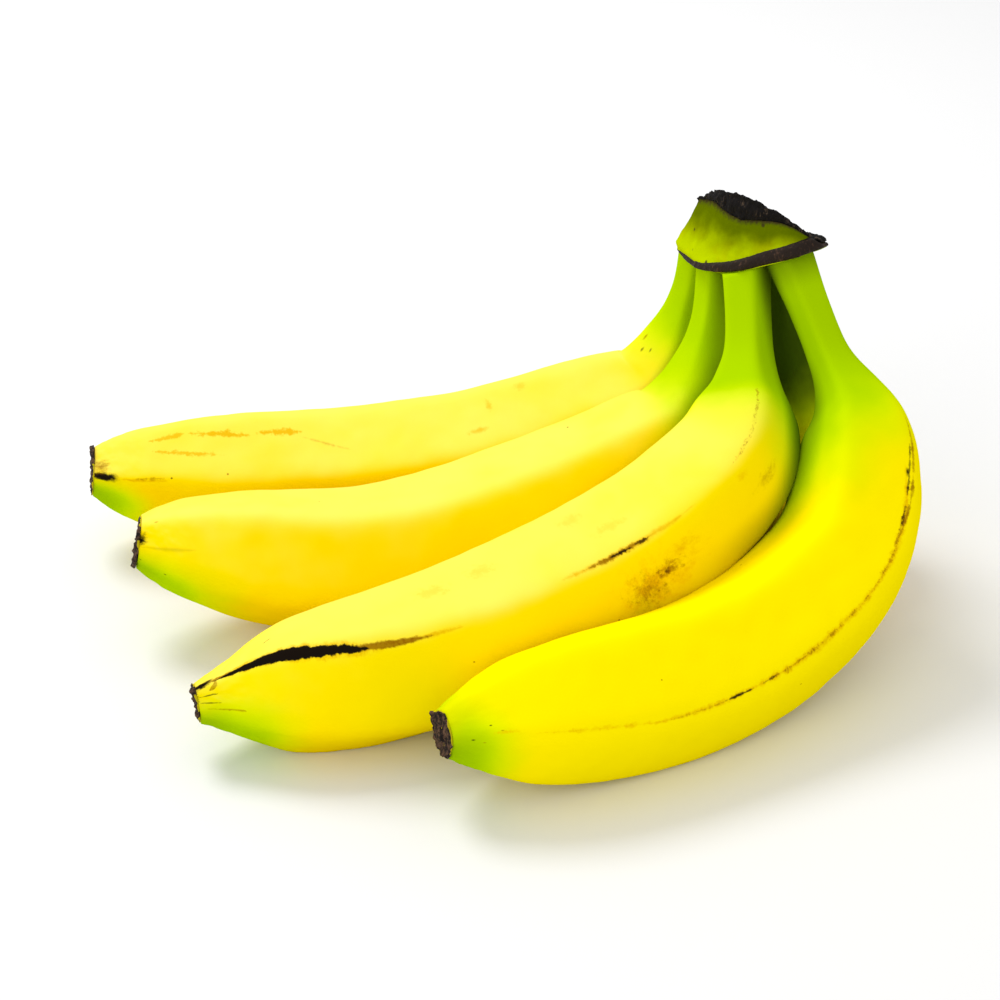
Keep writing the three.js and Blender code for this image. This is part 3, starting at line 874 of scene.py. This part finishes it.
def skin_values(mesh, finger, number, places, outward, share, inner_side):
    """Stores what the peel's material reads: the side that faces up, for painted light, the green, and the
    painted shade between fingers, under the tip and at the root.
    """
    first, last, further = finger["green"]
    neck = 1 - smoothstep(share, first, last + further * inner_side**1.5)
    tip_start, spread = finger["tip_green"]
    lower_side = smoothstep(-outward[..., 2], -spread, 0.6)
    under_tip = smoothstep(share, tip_start, 0.975) * lower_side
    sheltered = shelter(number, places, outward)
    # Painted shade: the green also deepens where other fingers stand close.
    green = neck + 0.95 * under_tip + 0.25 * sheltered * (share < 0.5)
    # Painted shade, strongest where other fingers stand close, on the lower side under the tip, and at the
    # root by the crown.
    painted_shade = sheltered * (1 - smoothstep(share, finger["shade"] - 0.2, finger["shade"]))
    painted_shade += 0.3 * lower_side * smoothstep(share, 0.94, FINGER_END)
    painted_shade += 0.6 * (1 - smoothstep(share, 0.005, 0.05))
    # Painted light: how far each point faces up, which pales the top and deepens the lower side.
    upper = 0.5 + 0.5 * skin_normals(places, outward)[..., 2]
    point_values(mesh, "painted_light_side", upper, 0, 1)
    point_values(mesh, "green", np.clip(green, 0, 1), 1, 0)
    point_values(mesh, "painted_shade", painted_shade, 1, 0)


def finger_skin(number, settings):
    """One finger's peel: the solid's form with fine relief."""
    finger = FINGERS[number]
    spine = Spine(finger["spine"])
    shares = np.linspace(0, FINGER_END, SKIN_RINGS)
    angles = seam_turn(finger, spine) + full_turn(SKIN_SIDES)
    middle, along, inside, across = spine.at(shares)
    turn = ridge_turn(finger, shares)[:, None] + angles[None]
    outward = np.cos(turn)[..., None] * inside[:, None] + np.sin(turn)[..., None] * across[:, None]
    reach = finger_radius(finger, shares)[:, None] * ridged_section(angles)[None]
    places = middle[:, None] + outward * reach[..., None]
    share = np.broadcast_to(shares[:, None], reach.shape)
    inner_side = 0.5 + 0.5 * np.cos(turn)
    relief = skin_relief(finger, number, places, share, inner_side, settings.relief)
    places = places + outward * relief[..., None]
    lid = crown_underside(places) - GAP * 0.5
    near_crown = share < NECK_REACH[1]
    places[..., 2] = np.where(near_crown, np.minimum(places[..., 2], lid), places[..., 2])
    places[..., 2] = np.maximum(places[..., 2], 0)
    mesh = mesh_from_rings(f"banana_{number}_skin", places)
    round_place = np.tile(full_turn(SKIN_SIDES) * BELLY_RADIUS, SKIN_RINGS)
    along_place = np.repeat(shares * spine.length, SKIN_SIDES)
    peel_places(mesh, round_place, along_place, SKIN_SIDES)
    skin_values(mesh, finger, number, places, outward, share, inner_side)
    return mesh


def blossom_cap(number):
    """The dried flower end: a thin crumpled cap with a torn rim and a hollowed face."""
    finger = FINGERS[number]
    middle, along, inside, across = (v[0] for v in Spine(finger["spine"]).at(FINGER_END))
    angles = full_turn(CAP_SIDES)
    turn = float(ridge_turn(finger, FINGER_END)) + angles
    outward = np.cos(turn)[:, None] * inside + np.sin(turn)[:, None] * across
    corners = range(len(CAP_PROFILE))
    step = np.linspace(0, len(CAP_PROFILE) - 1, CAP_RINGS)
    height = np.interp(step, corners, [h for h, r in CAP_PROFILE])
    radius = np.interp(step, corners, [r for h, r in CAP_PROFILE]) * finger["girth"] * finger["tip"]
    section = 1 + 0.35 * (ridged_section(angles) - 1)
    places = middle + height[:, None, None] * along + outward * (radius[:, None] * section)[..., None]
    rough = lumps(places, CAP_LUMP_SIZE, number + 20)
    circle = np.stack([6 * np.cos(angles), 6 * np.sin(angles), np.zeros(CAP_SIDES)], -1)
    crease = lumps(circle, CAP_CREASE_SIZE, number + 30) * smoothstep(radius, 1.0, 4.5)[:, None]
    knobs = np.clip(lumps(circle, CAP_KNOB_SIZE, number + 40) - 0.05, 0, 0.6)
    places = places - along * (height[:, None] * (0.6 - knobs))[..., None]
    places += outward * (CAP_KNOB_REACH * knobs * smoothstep(height, 0.0, 0.4)[:, None])[..., None]
    loose = smoothstep(height, 0.2, 1.0)[:, None]
    places += outward * (0.55 * rough * loose)[..., None]
    places += along * ((0.45 * rough + 0.22 * crease) * loose)[..., None]
    mesh = mesh_from_rings(f"blossom_end_{number}_cap", places)
    outer = (step < CAP_OUTER_STEPS) * (1 - smoothstep(height, 0.7, 1.15))
    point_values(mesh, "olive", outer[:, None] * (1 - smoothstep(knobs, 0.1, 0.3)), 0, 0)
    return mesh


def drawn_in(edge, inwards, lift):
    """A ring of the domed cut, between its edge (0) and its middle (1)."""
    ring = edge + (edge.mean(0) - edge) * inwards
    ring[:, 2] += CUT_DOME * (1 - (1 - inwards) ** 2) + lift
    return ring


def crown_skin(settings):
    """The green wedge of stalk."""
    around = np.arange(CROWN_SIDES) / CROWN_SIDES
    top = cut_height(around)
    levels = np.linspace(0, 1, CROWN_LEVELS)
    rings = [crown_wall(around, level * top) for level in levels]
    edge = rings[-1]
    rings += [drawn_in(edge, inwards, 0) for inwards in CROWN_LID]
    places = np.array(rings)
    rise = np.concatenate([levels, np.ones(len(CROWN_LID))])
    relief = settings.relief * lumps(places, CROWN_LUMP_SIZE, 41) * smoothstep(rise, 0.0, 0.15)[:, None]
    left_end = 1 - smoothstep(places[..., 0], -13.5, -4.0)
    bulge = smoothstep(rise, 0.0, 0.14) * (1 - smoothstep(rise, 0.2, 0.95))
    relief += CROWN_BULGE * left_end * bulge[:, None]
    places = push_out(places, CROWN_MIDDLE, relief)
    mesh = mesh_from_rings("crown_skin", places)
    point_values(mesh, "rise", np.broadcast_to(rise[:, None], relief.shape), 0, 1)
    return mesh


def crust_skin(settings):
    """The torn black crust on the cut."""
    around = np.arange(CROWN_SIDES) / CROWN_SIDES
    plane = plane_height(around)
    edge_height = cut_height(around)
    foot = crown_wall(around, edge_height)
    thick = settings.crust_thickness * np.clip(plane / CRUST_THINNING, 0.3, 1)
    left = foot[:, 0].min()
    thick = thick * (0.25 + 0.75 * smoothstep(foot[:, 0], left, left + 3.5))
    rings = [drawn_in(foot, 0.6, 0.2), drawn_in(foot, 0.3, 0.2)]
    rings.append(drawn_in(crown_wall(around, edge_height, 0.1), 0, 0.1))
    for rise in np.linspace(0.0, 1.0, CRUST_WALL_RINGS):
        swell = 0.35 * math.sin(math.pi * min(rise * 1.2, 1))
        wall = crown_wall(around, edge_height + rise * (plane - edge_height), swell)
        rings.append(drawn_in(wall, 0, 0.1 + rise * thick))
    rim = crown_wall(around, plane)
    rings += [drawn_in(rim, inwards, 0.1 + thick) for inwards in np.linspace(0.04, 0.96, CRUST_TOP_RINGS)]
    places = np.array(rings)
    loose = np.concatenate([[0, 0, 0.3], np.ones(CRUST_WALL_RINGS + CRUST_TOP_RINGS)])[:, None]
    rough = lumps(places, CRUST_LUMP_SIZE, 51, 4)
    coarse = lumps(places, CRUST_WAVE_SIZE, 52)
    places[..., 2] += loose * (settings.crust_roughness * rough + CRUST_WAVE_HEIGHT * coarse)
    side = [np.zeros(CRUST_TUCKED_RINGS), np.ones(CRUST_WALL_RINGS), np.linspace(1, 0, CRUST_TOP_RINGS)]
    torn = np.concatenate(side)[:, None] * CRUST_TEAR_DEPTH * lumps(places, CRUST_TEAR_SIZE, 53, 4)
    places = push_out(places, places.mean((0, 1)), torn)
    lowest = places[CRUST_TUCKED_RINGS - 1, :, 2] - 0.4
    places[CRUST_TUCKED_RINGS:, :, 2] = np.maximum(places[CRUST_TUCKED_RINGS:, :, 2], lowest)
    return mesh_from_rings("crown_cut_crust", places)


def scar_skin(settings):
    """The dark ridge round the front of the crown's rim, thicker towards the right."""
    way = np.linspace(0, 1, SCAR_STEPS)
    share = SCAR_START + (SCAR_END - SCAR_START) * way
    ends = np.minimum(1, np.minimum(8 * way + 0.12, 8 * (1 - way) + 0.12))
    wanted = ends * settings.scar_height * (0.45 + 0.55 * np.minimum(1, 1.6 * way))
    top = np.minimum(wanted, cut_height(share))
    outer = ends * settings.scar_overhang
    angle = full_turn(SCAR_SIDES)
    across = np.sign(np.sin(angle)) * np.abs(np.sin(angle)) ** 0.7
    up = -np.sign(np.cos(angle)) * np.abs(np.cos(angle)) ** 0.7
    height = top[:, None] * (0.5 + 0.5 * up)
    outwards = (outer[:, None] - SCAR_DEPTH) / 2 + (outer[:, None] + SCAR_DEPTH) / 2 * across
    places = crown_wall(np.broadcast_to(share[:, None], height.shape), height, outwards)
    grain = lumps(places, SCAR_GRAIN_SIZE, 61, 4)
    wave = lumps(places, SCAR_WAVE_SIZE, 62)
    places = push_out(places, CROWN_MIDDLE, SCAR_GRAIN_HEIGHT * grain + SCAR_WAVE_HEIGHT * wave)
    places[..., 2] += 0.08 * grain * ends[:, None]
    return mesh_from_rings("bract_scar_ridge", places)


# Settings

def colour_setting(name, description, default):
    return FloatVectorProperty(
        name=name, description=description, default=default, subtype="COLOR", size=3, min=0, max=1)


def number_setting(name, description, default, low, high):
    return FloatProperty(name=name, description=description, default=default, min=low, max=high)


class PeelSettings(bpy.types.PropertyGroup):
    # The peel's yellows are painted light: lighter and paler where the peel faces up, deeper orange where it
    # faces down.
    yellow: colour_setting("Yellow", "Ripe peel on its upper side", (0.95, 0.7, 0.0))
    painted_highlight_yellow: colour_setting("Light yellow", "Ripe peel that faces straight up", (0.96, 0.78, 0.12))
    lemon_yellow: colour_setting("Lemon yellow", "Less ripe peel", (0.96, 0.79, 0.0))
    painted_shade_yellow: colour_setting("Deep yellow", "Ripe peel on its lower side", (0.93, 0.57, 0.0))
    pale_green: colour_setting("Pale green", "Peel where green turns to yellow", (0.58, 0.74, 0.0))
    green: colour_setting("Green", "Neck and shoulder", (0.36, 0.58, 0.0))
    # This dark green is painted shade between fingers and over the hidden finger, and is also one mark's
    # colour.
    painted_shade_and_mark_green: colour_setting("Dark green", "Where other fingers stand close", (0.05, 0.085, 0.003))
    black_mark: colour_setting("Black marks", "Dead streaks on the ridges", (0.009, 0.006, 0.004))
    brown_mark: colour_setting("Brown marks", "Scuffs and bruises", (0.29, 0.125, 0.002))
    tan_mark: colour_setting("Tan marks", "Faint rubbed places", (0.76, 0.43, 0.0))
    roughness: number_setting("Roughness", "Roughness of clean peel", 0.42, 0, 1)
    relief: number_setting("Relief", "Height of the slow unevenness, in millimetres", 0.35, 0, 1)


class EndSettings(bpy.types.PropertyGroup):
    black: colour_setting("Black", "Dried cap", (0.01, 0.006, 0.005))
    brown: colour_setting("Brown", "Creases of the cap", (0.13, 0.07, 0.04))
    olive: colour_setting("Olive", "Where the cap meets the peel", (0.5, 0.42, 0.0))


class CrownSettings(bpy.types.PropertyGroup):
    green: colour_setting("Green", "Middle of the crown", (0.42, 0.54, 0.0))
    yellow_green: colour_setting("Yellow green", "Brighter patches", (0.56, 0.6, 0.0))
    olive: colour_setting("Olive", "Below the cut", (0.1, 0.14, 0.0))
    dark: colour_setting("Dark", "Specks", (0.04, 0.03, 0.01))
    crust: colour_setting("Crust", "Dried cut", (0.005, 0.004, 0.004))
    fibre: colour_setting("Fibre", "Paler fibres in the cut", (0.11, 0.075, 0.05))
    scar: colour_setting("Scar", "Ridge round the rim", (0.016, 0.009, 0.006))
    scar_grain: colour_setting("Scar grain", "Short pale grain of the ridge", (0.12, 0.06, 0.035))
    relief: number_setting("Relief", "Unevenness of the wall, in millimetres", 0.35, 0, 1)
    crust_thickness: number_setting("Crust thickness", "In millimetres", 2.2, 0.5, 4)
    crust_roughness: number_setting("Crust relief", "In millimetres", 0.7, 0, 2)
    scar_height: number_setting("Scar height", "In millimetres", 3.5, 1, 6)
    scar_overhang: number_setting("Scar overhang", "In millimetres", 1.1, 0, 3)


class StageSettings(bpy.types.PropertyGroup):
    floor_size: FloatProperty(
        name="Floor size", description="Side of the square floor", default=6.0, min=1, unit="LENGTH",
        subtype="DISTANCE")
    floor_colour: colour_setting("Floor", "Pale plain floor", (0.8, 0.8, 0.8))
    sky: number_setting("Sky", "Strength of the white surround", 0.84, 0, 10)
    key: number_setting("Key light", "Power of the large light above, in watts", 7.0, 0, 100)
    fill: number_setting("Fill light", "Power of the light from the front, in watts", 3.6, 0, 100)


# Operators

class BUNCH_OT_fingers(bpy.types.Operator):
    """Build the five fingers' peels"""

    bl_idname = "bunch.fingers"
    bl_label = "Build fingers"

    def execute(self, context):
        settings = context.scene.bunch_peel
        for number in FINGERS:
            name = f"banana_{number}"
            material = peel_material(number, settings)
            add_piece(f"{name}_skin", finger_skin(number, settings), material, "peel", name)
        return {"FINISHED"}


class BUNCH_OT_blossom_ends(bpy.types.Operator):
    """Build the dried flower end of each finger"""

    bl_idname = "bunch.blossom_ends"
    bl_label = "Build blossom ends"

    def execute(self, context):
        material = blossom_material(context.scene.bunch_ends)
        for number in FINGERS:
            name = f"blossom_end_{number}"
            add_piece(f"{name}_cap", blossom_cap(number), material, "blossom_end", name)
        return {"FINISHED"}


class BUNCH_OT_crown(bpy.types.Operator):
    """Build the green crown"""

    bl_idname = "bunch.crown"
    bl_label = "Build crown"

    def execute(self, context):
        settings = context.scene.bunch_crown
        add_piece("crown_skin", crown_skin(settings), crown_material(settings), "crown", "crown")
        return {"FINISHED"}


class BUNCH_OT_cut(bpy.types.Operator):
    """Build the dried crust on the crown's cut"""

    bl_idname = "bunch.cut"
    bl_label = "Build cut crust"

    def execute(self, context):
        settings = context.scene.bunch_crown
        material = dry_material("dried_cut", settings.crust, settings.fibre, 0.85, 1.4, (1, 1, 0.4))
        add_piece("crown_cut_crust", crust_skin(settings), material, "dried_cut", "crown_cut")
        return {"FINISHED"}


class BUNCH_OT_scar(bpy.types.Operator):
    """Build the dark ridge round the crown's rim"""

    bl_idname = "bunch.scar"
    bl_label = "Build bract scar"

    def execute(self, context):
        settings = context.scene.bunch_crown
        material = dry_material("bract_scar", settings.scar, settings.scar_grain, 0.6, 0.9, (1, 1, 0.35))
        add_piece("bract_scar_ridge", scar_skin(settings), material, "scar", "bract_scar")
        return {"FINISHED"}


def add_light(name, place, target, size, power):
    light = bpy.data.lights.new(name, "AREA")
    light.shape = "DISK"
    light.size = size
    light.energy = power
    holder = bpy.data.objects.new(name, light)
    bpy.context.scene.collection.objects.link(holder)
    holder.location = place
    holder.rotation_euler = (Vector(target) - Vector(place)).to_track_quat("-Z", "Y").to_euler()


class BUNCH_OT_stage(bpy.types.Operator):
    """Add the floor, the soft studio light and the camera"""

    bl_idname = "bunch.stage"
    bl_label = "Build stage"

    def execute(self, context):
        scene = context.scene
        settings = scene.bunch_stage
        half = settings.floor_size / 2
        mesh = bpy.data.meshes.new("floor")
        corners = [(-half, -half, 0), (half, -half, 0), (half, half, 0), (-half, half, 0)]
        mesh.from_pydata(corners, [], [(0, 1, 2, 3)])
        floor = bpy.data.objects.new("floor", mesh)
        scene.collection.objects.link(floor)
        material, _, shader = new_material("floor_plain", 0.9)
        shader.inputs["Base Color"].default_value = opaque(settings.floor_colour)
        mesh.materials.append(material)

        world = bpy.data.worlds.new("studio")
        world.use_nodes = True
        background = world.node_tree.nodes["Background"]
        background.inputs["Color"].default_value = (1, 1, 1, 1)
        background.inputs["Strength"].default_value = settings.sky
        scene.world = world
        add_light("key_light", (-0.45, 0.45, 1.0), (0, 0, 0.03), 0.55, settings.key)
        add_light("fill_light", (-0.6, -1.1, 0.7), (0, 0, 0.05), 0.8, settings.fill)

        camera = bpy.data.objects.new("camera", bpy.data.cameras.new("camera"))
        scene.collection.objects.link(camera)
        camera.location = metres(CAMERA_PLACE)
        camera.rotation_euler = (math.radians(90 - CAMERA_ELEVATION), 0, 0)
        camera.data.lens = CAMERA_LENS
        camera.data.sensor_width = 36
        scene.camera = camera
        scene.view_settings.view_transform = "Standard"
        return {"FINISHED"}


class BUNCH_PT_panel(bpy.types.Panel):
    """Lists the bunch's settings and its building steps"""

    bl_label = "Banana Bunch"
    bl_idname = "BUNCH_PT_panel"
    bl_space_type = "VIEW_3D"
    bl_region_type = "UI"
    bl_category = "Bananas"

    def draw(self, context):
        layout = self.layout
        for group in SETTINGS:
            box = layout.box()
            settings = getattr(context.scene, group)
            for key in settings.bl_rna.properties.keys():
                if key not in {"name", "rna_type"}:
                    box.prop(settings, key)
        for operator in OPERATORS:
            layout.operator(operator.bl_idname)


SETTINGS = {
    "bunch_peel": PeelSettings,
    "bunch_ends": EndSettings,
    "bunch_crown": CrownSettings,
    "bunch_stage": StageSettings,
}
OPERATORS = (
    BUNCH_OT_stage,
    BUNCH_OT_fingers,
    BUNCH_OT_blossom_ends,
    BUNCH_OT_crown,
    BUNCH_OT_cut,
    BUNCH_OT_scar,
)


def register():
    for group, settings in SETTINGS.items():
        bpy.utils.register_class(settings)
        setattr(bpy.types.Scene, group, PointerProperty(type=settings))
    for operator in OPERATORS:
        bpy.utils.register_class(operator)
    bpy.utils.register_class(BUNCH_PT_panel)


def unregister():
    bpy.utils.unregister_class(BUNCH_PT_panel)
    for operator in reversed(OPERATORS):
        bpy.utils.unregister_class(operator)
    for group, settings in reversed(SETTINGS.items()):
        delattr(bpy.types.Scene, group)
        bpy.utils.unregister_class(settings)


def main():
    register()
    build_streak_group()
    build_blotch_group()
    build_speck_group()
    build_grain_group()
    bpy.ops.bunch.stage()
    bpy.ops.bunch.fingers()
    bpy.ops.bunch.blossom_ends()
    bpy.ops.bunch.crown()
    bpy.ops.bunch.cut()
    bpy.ops.bunch.scar()


if __name__ == "__main__":
    main()
